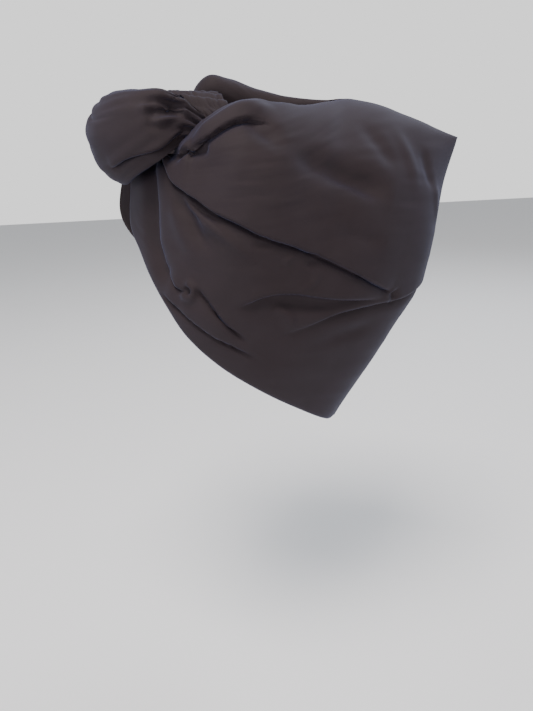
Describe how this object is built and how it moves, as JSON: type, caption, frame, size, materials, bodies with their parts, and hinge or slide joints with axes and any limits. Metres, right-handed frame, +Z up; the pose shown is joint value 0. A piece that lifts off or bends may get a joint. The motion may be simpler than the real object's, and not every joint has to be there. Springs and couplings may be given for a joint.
{
  "type": "turban headwrap",
  "caption": "Woven cotton turban headwrap with gathered side panels, a high back corner, an open crown valley and a puffed half knot above the forehead",
  "frame": {"origin": "where the crown of the wearer's head sits inside the wrap", "axes": "+Z up, the wearer faces -Y, the wearer's left is +X"},
  "size_m": [0.1931, 0.2977, 0.2967],
  "materials": {
    "black_cotton": "soft black plain-weave cotton"
  },
  "bodies": {
    "root": {"left_panel": "black_cotton", "right_panel": "black_cotton", "crown_panel": "black_cotton", "knot_over_loop": "black_cotton", "knot_under_loop": "black_cotton", "tucked_end": "black_cotton"}
  },
  "joints": []
}
